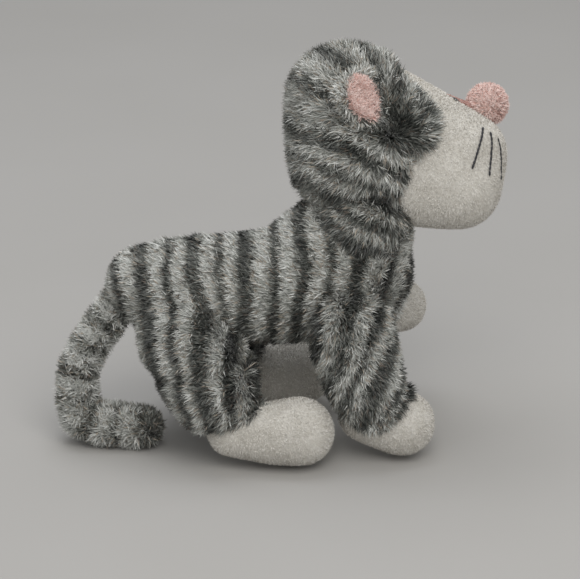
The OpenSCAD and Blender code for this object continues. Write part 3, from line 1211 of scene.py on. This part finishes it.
@dataclass
class Head:
    """The head: a fur hood and a white velour face sewn along one curved seam."""

    skull: list[Station] = field(default_factory=lambda: [
        (-3.5, 8, 77, 35.5), (-3.5, -8, 77, 35.5), (-6, 6, 42, 34), (-6, -6, 42, 34),
        (31, 9, 70.5, 24.5), (31, -9, 70.5, 24.5),
    ])
    face: list[Station] = field(default_factory=lambda: [
        (30, 11, 69, 26), (30, -11, 69, 26), (73.5, 6, 38.5, 29), (73.5, -6, 38.5, 29),
        (66, 8, 18.5, 31), (66, -8, 18.5, 31), (38, 6, 18.5, 27.5), (38, -6, 18.5, 27.5),
    ])
    # the seam: its rearmost place, how far it bulges forward, at what height and over what height
    seam_rear: float = 20.0
    seam_bulge: float = 25.0
    seam_middle: float = 61.0
    seam_spread: float = 24.0
    crease: tuple[Point, Point] = ((11.0, 0.0, 73.0), (36.0, 0.0, 27.0))
    # forward and up, where the hood's nap spreads from
    swirl: tuple[float, float] = (20.0, 54.0)
    # the ear's foot, and how far round it the cloth is bare
    ear_foot: Point = (-2.0, 40.0, 80.0)
    ear_bare: float = 13.0
    plots_meet: float = 58.0
    face_nap: Point = (-0.5, 0.0, -0.8)
    nose_at: Point = (90.5, 0.0, 70.6)
    nose_radius: float = 11.6
    nose_nap: Point = (-0.4, 0.0, 0.6)
    eye_at: Point = (69.0, 8.5, 77.0)
    pile: Pile = Pile(length=9.5, comb=1.0, scatter=0.42, clump_pull=3.0)
    fuzz: Pile = VELOUR_FUZZ

    def seam_at(self, up: np.ndarray) -> np.ndarray:
        """How far forward the seam lies at each height, mm in the head's frame."""
        return self.seam_rear + self.seam_bulge * np.exp(-(((up - self.seam_middle) / self.seam_spread) ** 2))

    def seam_prism(self) -> list[Point]:
        """Corners of the region in front of the seam, in the cat's frame."""
        heights = np.linspace(110, -14, 18)
        ring = [(f, 0.0, u) for f, u in zip(self.seam_at(heights), heights)]
        ring += [(140.0, 0.0, -30.0), (140.0, 0.0, 130.0)]
        return [tuple(q) for q in HEAD.out(np.array(ring))]

    def make(self, furrier: Furrier) -> None:
        """Sews hood and face, grows the pile and adds nose, eyes, whiskers and mouth."""
        groups = [HEAD.stations(self.skull), HEAD.stations(self.face)]
        along = tuple(HEAD.axes() @ np.array([0.0, 90.0, 0.0]))
        prism = self.seam_prism()
        face = cloth_run(stuffed_skin("face_velour", groups, 2.6, 12))
        hood = copied(face, "head_skin")
        cut_along(face, prism, along, True)
        cut_along(hood, prism, along, False)
        self.trim_hood(hood)
        self.dress_hood(hood, furrier)
        furrier.grow_quarters(hood, "head", self.pile, self.plots_meet)
        self.make_face(face, furrier)
        surface = BVHTree.FromObject(face, bpy.context.evaluated_depsgraph_get())
        self.make_nose(furrier)
        self.make_eyes(surface)
        self.make_stitches(surface)

    def trim_hood(self, hood: bpy.types.Object) -> None:
        """Pulls the cloth in along the crease that runs from the ear to the jaw."""
        q = HEAD.into(points_of(hood))
        out = normals_of(hood) @ HEAD.axes()
        q = drawn_in(q, out, self.crease, 3.2, 5.0)
        set_points(hood, HEAD.out(q + out * (1.2 * lumps(q, 22, 8))[:, None]))

    def dress_hood(self, hood: bpy.types.Object, furrier: Furrier) -> None:
        """Prints and combs the hood, darkens its jaw as painted shade, and leaves no pile on the seam's cut
        face or under the ears.
        """
        p = points_of(hood)
        q = HEAD.into(p)
        spread = np.c_[q[:, 0] - self.swirl[0], np.zeros(len(q)), (q[:, 2] - self.swirl[1]) * 0.9]
        comb = spread / np.maximum(np.linalg.norm(spread, axis=1, keepdims=True), 6.0)
        out = normals_of(hood) @ HEAD.axes()
        cut_face = (out[:, 0] > 0.8) & (np.abs(q[:, 1]) < 26) & (q[:, 2] < 95)
        folded = np.c_[q[:, 0], np.abs(q[:, 1]), q[:, 2]]
        ear = np.linalg.norm(folded - np.array(self.ear_foot), axis=1)
        cover = np.where(cut_face | (ear < self.ear_bare), 0.0, 1.0)
        # darker towards the jaw: painted shade under the head
        tone = marking(q, HoodPrint(), 31, 0.60, comb * 3.0) * (1 - 0.22 * step(34, 4, q[:, 2]))
        furrier.dress(hood, tone, comb @ HEAD.axes().T, cover, 1 + 0.2 * lumps(p, 26, 33))
        finished(hood, furrier.backing, "head", "tabby_pile", "head_shell", "head_fill")

    def make_face(self, face: bpy.types.Object, furrier: Furrier) -> None:
        """Finishes the white face and its velour fuzz."""
        p = points_of(face)
        q = HEAD.into(p)
        set_points(face, p + normals_of(face) * (0.5 * lumps(p, 20, 6))[:, None])
        cover = np.where(q[:, 0] < self.seam_at(q[:, 2]) + 1.0, 0.0, 1.0)
        comb = combed(p, self.face_nap) @ HEAD.axes().T
        furrier.dress(face, velour_tone(p), comb, cover, np.ones(len(p)))
        finished(face, furrier.velour, "head", "white_short_pile", "face_panel")
        furrier.grow(face, "face_fuzz", "head", self.fuzz, furrier.white_tree)

    def make_nose(self, furrier: Furrier) -> None:
        """Makes the pink ball nose with its tufts and the gathered fold behind it, the fold in painted shade.
        """
        at = HEAD.out(np.array(self.nose_at))
        tail = [HEAD.out(np.array(c)) for c in ([79.5, -4.5, 68.5], [71.5, -6.0, 73.0], [62.0, -6.5, 78.5])]
        groups = [
            [(*at, self.nose_radius)],
            [(*at, 6.5), (*tail[0], 3.0)],
            [(*tail[0], 3.0), (*tail[1], 1.8)],
            [(*tail[1], 1.8), (*tail[2], 0.8)],
        ]
        ball = stuffed_skin("nose_ball", groups, 0.9, 4)
        p = points_of(ball)
        far = np.linalg.norm(p - at, axis=1)
        # the fold behind the ball: its tone is lowered as painted shade, and its tufts kept short
        fold = step(11.5, 14, far)
        tone = 0.6 + 0.2 * lumps(p, 6, 4) - 0.5 * fold
        furrier.dress(ball, tone, combed(p, self.nose_nap), np.ones(len(p)), 1 - 0.85 * fold)
        finished(ball, furrier.rose, "head", "pink_nose_pile", "nose")
        tufts = Pile(
            per_mm2=7.0, length=3.8, width=0.6, comb=0.5, scatter=0.5, clump_mm=2.0, clump_pull=2.6,
            painted_root_shade=0.3, dye_spread=0.3,
        )
        furrier.grow(ball, "nose_tufts", "head", tufts, furrier.rose_tree)

    def make_eyes(self, surface: BVHTree) -> None:
        """Sets the two low domed eyes into the cloth beside the bridge.

        Args:
            surface: the face, which the eyes are let into.
        """
        gloss = DomedEye().material()
        for side, name in ((-1, "eye_right"), (1, "eye_left")):
            rings, turns, radius, dome = 10, 32, 3.6, 1.5
            beside = np.array(self.eye_at) * np.array([1.0, side, 1.0])
            guess = Vector((HEAD.out(beside) + LAID) * MM)
            hit, normal, _, _ = surface.find_nearest(guess)
            centre = HEAD.into(np.array(hit) / MM - LAID)
            ahead = np.array(normal) @ HEAD.axes()
            cross = np.cross(np.array([0.0, 1.0, 0.0]), ahead)
            cross /= np.linalg.norm(cross)
            wide = np.cross(ahead, cross)
            verts, faces = [centre + ahead * dome], []
            for k in range(1, rings + 1):
                a = k / rings
                rise = dome * math.sqrt(max(0.0, 1 - a * a)) if k < rings else -dome
                for t in range(turns):
                    w = 2 * math.pi * t / turns
                    round_it = cross * math.cos(w) + wide * math.sin(w)
                    verts.append(centre + ahead * rise + radius * a * round_it)
            for t in range(turns):
                faces.append((0, 1 + t, 1 + (t + 1) % turns))
                for k in range(rings - 1):
                    a0, a1 = 1 + k * turns, 1 + (k + 1) * turns
                    faces.append((a0 + t, a1 + t, a1 + (t + 1) % turns, a0 + (t + 1) % turns))
            faces.append(tuple(reversed([1 + (rings - 1) * turns + t for t in range(turns)])))
            ob = mesh_object(name + "_dome", HEAD.out(np.array(verts)), faces)
            face_outward(ob)
            finished(ob, gloss, "head", "black_eye", name)

    def make_stitches(self, surface: BVHTree) -> None:
        """Embroiders three whiskers on each cheek and a short mouth.

        Args:
            surface: the face, which the thread lies on.
        """
        # each thread's second colour is the painted highlight along its twist
        thread = TwistedThread("black_embroidery_thread", "#141416", "#34343a").material()
        soft = TwistedThread("charcoal_embroidery_thread", "#2c282a", "#4a4446").material()
        for side, label in ((-1, "right"), (1, "left")):
            for k, (a, b, r) in enumerate((
                ((80.5, 27.0, 55.0), (70.0, 34.0, 31.0), 0.80),
                ((85.5, 26.0, 51.0), (80.0, 29.0, 26.0), 0.75),
                ((90.0, 23.5, 46.5), (90.5, 23.5, 23.0), 0.50),
            )):
                pts = np.linspace(a, b, 15) * np.array([1.0, side, 1.0])
                ob = self.stitched(f"whisker_{label}_{k + 1}", pts, r, surface)
                nodes = (f"whiskers_{label}",) if k == 0 else ()
                finished(ob, thread, "head", "black_thread", *nodes)
        drop = np.array([[99.5, 0.0, 60.0 - 16.0 * t / 8] for t in range(9)])
        mouth = self.stitched("mouth_seam", drop, 0.5, surface)
        finished(mouth, soft, "head", "black_thread", "mouth_stitch")

    def stitched(
        self, name: str, line: np.ndarray, radius: float, surface: BVHTree
    ) -> bpy.types.Object:
        """Lays a stitched line on the face with Geometry Nodes.

        Args:
            name: object name.
            line: points in the head's frame, mm.
            radius: thread radius, mm.
            surface: the face.

        Returns:
            The stitches as a plain mesh.
        """
        curve = bpy.data.curves.new(name, "CURVE")
        curve.dimensions = "3D"
        spline = curve.splines.new("POLY")
        spline.points.add(len(line) - 1)
        for k, q in enumerate(HEAD.out(line)):
            hit, normal, _, _ = surface.find_nearest(Vector((q + LAID) * MM))
            spline.points[k].co = (*(hit + normal * 0.9 * MM), 1.0)
        ob = linked(name, curve)
        values = {"Pitch": 3.0 * MM, "Thread Radius": radius * MM, "Overlap": 0.62}
        add_tree(ob, "stitches", stitch_tree(), values)
        graph = bpy.context.evaluated_depsgraph_get()
        mesh = bpy.data.meshes.new_from_object(ob.evaluated_get(graph), depsgraph=graph)
        bpy.data.objects.remove(ob)
        mesh.name = name
        smooth(mesh)
        return linked(name, mesh)


def stitch_tree() -> bpy.types.NodeTree:
    """Geometry Nodes that lay slim stitches end to end along a curve."""
    old = bpy.data.node_groups.get("stitched_line")
    if old:
        return old
    tree = bpy.data.node_groups.new("stitched_line", "GeometryNodeTree")
    tree.interface.new_socket("Geometry", in_out="INPUT", socket_type="NodeSocketGeometry")
    tree.interface.new_socket("Geometry", in_out="OUTPUT", socket_type="NodeSocketGeometry")
    for label in ("Pitch", "Thread Radius", "Overlap"):
        tree.interface.new_socket(label, in_out="INPUT", socket_type="NodeSocketFloat")
    put = add_node(tree, "NodeGroupInput").outputs
    spots = add_node(
        tree, "GeometryNodeCurveToPoints", {"Curve": put["Geometry"], "Length": put["Pitch"]}, mode="LENGTH"
    )
    ball = add_node(tree, "GeometryNodeMeshUVSphere", {"Segments": 10, "Rings": 8, "Radius": 1.0})
    tall = add_node(tree, "ShaderNodeMath", {0: put["Pitch"], 1: put["Overlap"]}, operation="MULTIPLY")
    size = add_node(
        tree, "ShaderNodeCombineXYZ", {0: put["Thread Radius"], 1: put["Thread Radius"], 2: tall.outputs[0]}
    )
    along = add_node(
        tree, "FunctionNodeAlignRotationToVector", {"Vector": spots.outputs["Tangent"]}, axis="Z"
    )
    row = add_node(
        tree, "GeometryNodeInstanceOnPoints",
        {"Points": spots.outputs["Points"], "Instance": ball.outputs["Mesh"], "Rotation": along.outputs[0],
         "Scale": size.outputs[0]},
    )
    real = add_node(tree, "GeometryNodeRealizeInstances", {0: row.outputs[0]})
    add_node(tree, "NodeGroupOutput", {0: real.outputs[0]})
    return tree


@dataclass
class Ear:
    """A small folded ear: a flat fur pad with a pink lining on the side that shows."""

    side: int
    root_low: Point = (15.0, 36.0, 62.0)
    root_high: Point = (5.0, 35.0, 96.0)
    tip: Point = (-18.0, 50.0, 82.0)
    lining_at: Point = (-3.0, 43.0, 79.5)
    lining_nap: Point = (0.2, 0.0, 0.9)
    pile: Pile = Pile(length=6.0, scatter=0.7)

    @property
    def name(self) -> str:
        """The ear's body name."""
        return "ear_right" if self.side < 0 else "ear_left"

    def placed(self, p: Point | np.ndarray) -> np.ndarray:
        """A point of the left ear put on this side, in the head's frame."""
        return np.array([p[0], self.side * p[1], p[2]])

    def make(self, furrier: Furrier) -> None:
        """Sews the pad and its lining."""
        low, high, tip = (np.array(c) for c in (self.root_low, self.root_high, self.tip))
        above, below = (high + tip) / 2 + np.array([-2, 1, 5]), (low + tip) / 2 + np.array([-4, 2, -5])
        rim = [low, high, tip, above, below]
        rows = [(*self.placed(c), 2.6) for c in rim]
        pad = stuffed_skin(f"{self.name}_pad", [HEAD.stations(rows)], 1.5, 4)
        p = points_of(pad)
        q = HEAD.into(p)
        side = np.c_[q[:, 0], np.abs(q[:, 1]), q[:, 2]]
        across = np.cross(high - low, tip - low)
        across /= np.linalg.norm(across)
        if across[1] < 0:
            across = -across
        centre = np.array(self.lining_at)
        front = (normals_of(pad) @ HEAD.axes() * np.array([1, self.side, 1])) @ across
        inside = np.linalg.norm((side - centre) * np.array([1.15, 0.4, 0.8]), axis=1)
        bare = (front > 0.3) & (inside < 11.5)
        away = side - centre
        comb = away / np.maximum(np.linalg.norm(away, axis=1, keepdims=True), 4.0)
        comb = (comb * np.array([1, self.side, 1])) @ HEAD.axes().T
        # darker towards the front, where the ear folds against the head: painted shade
        tone = 0.60 + 0.15 * lumps(p, 8, 41) - 0.25 * step(11, 16, side[:, 0])
        furrier.dress(pad, tone, comb, np.where(bare, 0.0, 1.0), np.ones(len(p)))
        finished(pad, furrier.backing, self.name, "tabby_pile", f"{self.name}_outer")
        furrier.grow(pad, f"{self.name}_pile", self.name, self.pile, furrier.grey_tree)
        self.make_lining(furrier, across)

    def make_lining(self, furrier: Furrier, across: np.ndarray) -> None:
        """Makes the leaf-shaped lining with its middle crease.

        Args:
            furrier: grows its short pink pile.
            across: the pad's outward direction for the left ear.
        """
        up = np.array([-0.42, 0.0, 0.90])
        up -= across * (up @ across)
        up /= np.linalg.norm(up)
        wide = np.cross(up, across)
        rows, columns, half_long, half_wide, thick = 18, 12, 14.5, 10.5, 1.6
        centre = np.array(self.lining_at) + across * 3.0
        verts, faces = [], []
        for layer in (0.0, -thick):
            for i in range(rows + 1):
                a = -1 + 2 * i / rows
                w = half_wide * max(0.10, (1 - abs(a) ** 2.4)) ** 0.7 * (1.0 + 0.12 * a)
                for j in range(columns + 1):
                    b = -1 + 2 * j / columns
                    dip = -2.2 * math.exp(-((b - 0.15) / 0.22) ** 2) * (1 - a * a) + 1.6 * (1 - b * b)
                    at = centre + up * a * half_long + wide * b * w + across * (dip + layer)
                    verts.append(self.placed(at))
        row, top = columns + 1, (rows + 1) * (columns + 1)
        for i in range(rows):
            for j in range(columns):
                k = i * row + j
                faces.append((k, k + 1, k + row + 1, k + row))
                faces.append((top + k, top + k + row, top + k + row + 1, top + k + 1))
        ring = list(range(row)) + [i * row + columns for i in range(1, rows + 1)]
        ring += [rows * row + j for j in range(columns - 1, -1, -1)]
        ring += [i * row for i in range(rows - 1, 0, -1)]
        for a, b in zip(ring, ring[1:] + ring[:1]):
            faces.append((a, top + a, top + b, b))
        leaf = mesh_object(f"{self.name}_lining", HEAD.out(np.array(verts)), faces)
        face_outward(leaf)
        p = points_of(leaf)
        comb = combed(p, self.lining_nap)
        front = (normals_of(leaf) @ HEAD.axes() * np.array([1, self.side, 1])) @ across
        furrier.dress(leaf, 0.6 + 0.2 * lumps(p, 6, 9), comb, step(0.0, 0.3, front), np.ones(len(p)))
        finished(leaf, furrier.rose, self.name, "pink_ear_lining", f"{self.name}_inner")
        nap = Pile(
            per_mm2=6.0, length=4.2, width=0.55, comb=0.7, scatter=0.6, clump_mm=2.5, clump_pull=1.3,
            painted_root_shade=0.25, dye_spread=0.25,
        )
        furrier.grow(leaf, f"{self.name}_nap", self.name, nap, furrier.rose_tree)


@dataclass
class Leg:
    """One leg: a fur sleeve over filling and a white velour foot full of beans."""

    name: str
    sleeve: list[Station]
    foot: list[Station]
    seam: list[Point]
    along: Point
    foot_node: str
    nap: Point = (-0.7, 0.0, -0.2)
    foot_nap: Point = (0.6, 0.0, -0.4)
    crease: tuple[Point, Point] | None = None
    crease_depth: float = 7.0
    crease_wide: float = 5.0
    pile: Pile = Pile()
    fuzz: Pile = replace(VELOUR_FUZZ, per_mm2=1.6)

    def make(self, furrier: Furrier, trunk: Trunk) -> None:
        """Sews sleeve and foot, cut along the same seam, and grows both piles."""
        pairs = [[a, b] for a, b in zip(self.sleeve, self.sleeve[1:])]
        groups = pairs + [self.foot]
        foot = cloth_run(stuffed_skin(f"{self.name}_velour", groups, 2.6, 8), voxel=4.0)
        sleeve = copied(foot, f"{self.name}_skin")
        cut_along(foot, self.seam, self.along, True)
        cut_along(sleeve, self.seam, self.along, False)
        for ob, size in ((foot, 0.5), (sleeve, 1.0)):
            p, out = points_of(ob), normals_of(ob)
            if self.crease:
                p = drawn_in(p, out, self.crease, self.crease_depth, self.crease_wide)
            p = p + out * (size * lumps(p, 20, 12))[:, None]
            p[:, 2] = np.maximum(p[:, 2], 0.05)
            set_points(ob, p)
        p = points_of(sleeve)
        cover = step(-9, -7, trunk.distance(p))
        comb = combed(p, self.nap)
        tone = marking(p, Hoops(), BODY_SEED, drift=comb * BODY_DRIFT)
        furrier.dress(sleeve, tone, comb, cover, np.ones(len(p)))
        finished(
            sleeve, furrier.backing, self.name, "tabby_pile", f"{self.name}_sleeve", f"{self.name}_fill"
        )
        furrier.grow(sleeve, f"{self.name}_pile", self.name, self.pile, furrier.grey_tree)
        p = points_of(foot)
        cover = step(0.8, 2.5, p[:, 2])
        furrier.dress(foot, velour_tone(p), combed(p, self.foot_nap), cover, np.ones(len(p)))
        finished(
            foot, furrier.velour, self.name, "white_short_pile",
            f"{self.name}_{self.foot_node}", f"{self.name}_beans",
        )
        furrier.grow(foot, f"{self.name}_fuzz", self.name, self.fuzz, furrier.white_tree)


@dataclass
class Tail:
    """The ringed tail: a hanging length and a tip that lies on the floor."""

    upper: list[Station] = field(default_factory=lambda: [
        (-104, 0, 101, 9), (-110, 0, 95, 8.6), (-118, -1, 84, 8.6), (-129.5, -5, 68, 8.6),
        (-138, -8, 50, 9), (-138, -12, 28, 10),
    ])
    tip: list[Station] = field(default_factory=lambda: [
        (-136, -13, 20, 10.5), (-124, -15, 15, 10.5), (-106, -17, 13.5, 10.5), (-94, -19, 14, 9.5),
    ])
    rings: Bands = Bands(19.2, 24.0, 4.6)
    nap: Point = (-0.5, 0.0, 0.6)
    pile: Pile = Pile(length=7.0, comb=0.5)

    def walk(self, p: np.ndarray) -> np.ndarray:
        """Length along the tail's middle line nearest to each point.

        Args:
            p: N by 3 points, mm.

        Returns:
            N lengths, mm.
        """
        chain = self.upper + self.tip
        best, at, done = np.full(len(p), 1e9), np.zeros(len(p)), 0.0
        for a, b in zip(chain, chain[1:]):
            pa, d = np.array(a[:3], float), np.array(b[:3], float) - np.array(a[:3], float)
            t = np.clip((p - pa) @ d / max(d @ d, 1e-9), 0, 1)
            far = np.linalg.norm(p - pa - t[:, None] * d, axis=1)
            near = far < best
            best[near], at[near] = far[near], (done + t * np.linalg.norm(d))[near]
            done += float(np.linalg.norm(d))
        return at

    def make(self, furrier: Furrier) -> None:
        """Sews both lengths and grows their pile."""
        for name, chain, nodes in (
            ("tail", self.upper, ("tail_sleeve", "tail_fill")),
            ("tail_tip", self.tip, ("tail_tip_sleeve", "tail_tip_fill")),
        ):
            skin = stuffed_skin(f"{name}_skin", [[a, b] for a, b in zip(chain, chain[1:])], 2.0, 6)
            p = points_of(skin)
            p[:, 2] = np.maximum(p[:, 2], 0.6)
            set_points(skin, p)
            s = self.walk(p) + 2.0 * lumps(p, 9, 61)
            dark = self.rings.dark(s)
            # darker where the tail leaves the rump: painted shadow
            dark = np.maximum(dark, 0.8 * step(14, 6, s))
            tone = 0.74 + 0.12 * lumps(p, 12, 62)
            cover = step(-1.0, 1.5, p[:, 2])
            furrier.dress(skin, tone * (1 - 0.55 * dark), combed(p, self.nap), cover, np.ones(len(p)))
            finished(skin, furrier.backing, name, "tabby_pile", *nodes)
            furrier.grow(skin, f"{name}_pile", name, self.pile, furrier.grey_tree)


def legs() -> list[Leg]:
    """The four legs, from front right to rear left."""
    fore = [(44, -29, 92, 25.5), (47, -32, 76, 26), (54, -34, 52, 24.5)]
    paw = [(52, -34, 28.5, 18), (79, -35, 23.6, 23.6)]
    fore_seam = [
        (12, 0, 56), (28, 0, 52), (41, 0, 37), (58, 0, 29), (71, 0, 34), (81, 0, 44), (96, 0, 60),
        (150, 0, 60), (150, 0, -40), (-20, 0, -40), (-20, 0, 56),
    ]
    hind = [(-66, -16, 94, 27), (-63, -23, 80, 30), (-50, -36, 60, 30.5), (-44, -45, 46, 24)]
    foot = [(-36, -51, 23, 16), (-12, -51, 23.5, 21.5), (11, -51, 24.6, 24.6)]
    hind_seam = [
        (-120, 0, 26), (-60, 0, 30), (-39, 0, 34), (-22, 0, 40), (-9, 0, 46), (4, 0, 60), (100, 0, 60),
        (100, 0, -40), (-120, 0, -40),
    ]
    lifted = [(44, 29, 92, 25), (53, 38, 85, 25), (67, 56, 72, 23.5)]
    lifted_paw = [(70, 60, 74, 21), (80, 67, 67, 20)]
    lifted_seam = [(56, 0, 22), (66, 0, 66), (84, 0, 98), (150, 0, 98), (150, 0, 10), (60, 0, 10)]
    wide = (0.0, 160.0, 0.0)
    fold = ((-78.0, 0.0, 60.0), (-28.0, 0.0, 73.0))
    return [
        Leg("fore_right", fore, paw, fore_seam, wide, "paw", (0.2, 0.0, -0.5)),
        Leg("fore_left", lifted, lifted_paw, lifted_seam, wide, "paw", (0.4, 0.2, -0.2)),
        Leg("hind_right", hind, foot, hind_seam, wide, "foot", crease=fold),
        Leg("hind_left", mirrored(hind), mirrored(foot), hind_seam, wide, "foot", crease=fold),
    ]


# ---------------------------------------------------------------- studio


@dataclass(frozen=True)
class Studio:
    """Plain pale floor, soft lights and a long-lens camera raised 22 degrees on the cat's right."""

    aim: Point = (4.3, -8.35, 105.4)
    raised: float = 22.0
    away: float = 2400.0
    seen_mm: float = 386.7
    floor_half: float = 7000.0

    def build(self) -> None:
        """Makes floor, lights, world and camera."""
        h = self.floor_half
        floor = mesh_object("floor", [(-h, -h, 0), (h, -h, 0), (h, h, 0), (-h, h, 0)], [(0, 1, 2, 3)])
        floor.data.materials.append(FloorSheet().material())
        scene = bpy.context.scene
        scene.view_settings.view_transform = "Standard"
        scene.view_settings.look = "None"
        world = bpy.data.worlds.new("studio_air")
        world.use_nodes = True
        world.node_tree.nodes["Background"].inputs[0].default_value = linear("#f1f2f3")
        world.node_tree.nodes["Background"].inputs[1].default_value = 0.55
        scene.world = world
        self.lamp("key", (250, -1150, 1450), 1200, 14.0, "#fffdfa")
        self.lamp("top", (-200, 350, 1700), 1200, 10.0, "#f8faff")
        aim = Vector(self.aim) * MM
        tilt = math.radians(self.raised)
        camera = linked("camera", bpy.data.cameras.new("camera"))
        camera.location = aim + Vector((0, -math.cos(tilt), math.sin(tilt))) * self.away * MM
        camera.rotation_euler = (aim - camera.location).to_track_quat("-Z", "Y").to_euler()
        camera.data.sensor_width = 36.0
        camera.data.lens = 36.0 * self.away / self.seen_mm
        camera.data.clip_end = 50.0
        camera.data.clip_start = 0.05
        scene.camera = camera

    def lamp(self, name: str, at: Point, size: float, power: float, colour: str) -> None:
        """Adds one soft square lamp aimed at the cat.

        Args:
            name: object name.
            at: place, mm.
            size: side, mm.
            power: watts.
            colour: sRGB hex.
        """
        data = bpy.data.lights.new(name, "AREA")
        data.size = size * MM
        data.energy = power
        data.color = linear(colour)[:3]
        ob = linked(name, data)
        ob.location = Vector(at) * MM
        ob.rotation_euler = (Vector(self.aim) * MM - ob.location).to_track_quat("-Z", "Y").to_euler()


def main() -> None:
    """Builds the cat in order and reports each piece."""
    logging.basicConfig(level=logging.INFO, format="%(message)s")
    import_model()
    Studio().build()
    furrier = Furrier()
    trunk = Trunk()
    trunk.make(furrier)
    Neck().make(furrier)
    Head().make(furrier)
    for side in (-1, 1):
        Ear(side).make(furrier)
    for leg in legs():
        leg.make(furrier, trunk)
    Tail().make(furrier)
    bpy.data.objects.remove(furrier.strand)
    LOG.info("pile: %d triangles", furrier.triangles)


if __name__ == "__main__":
    main()
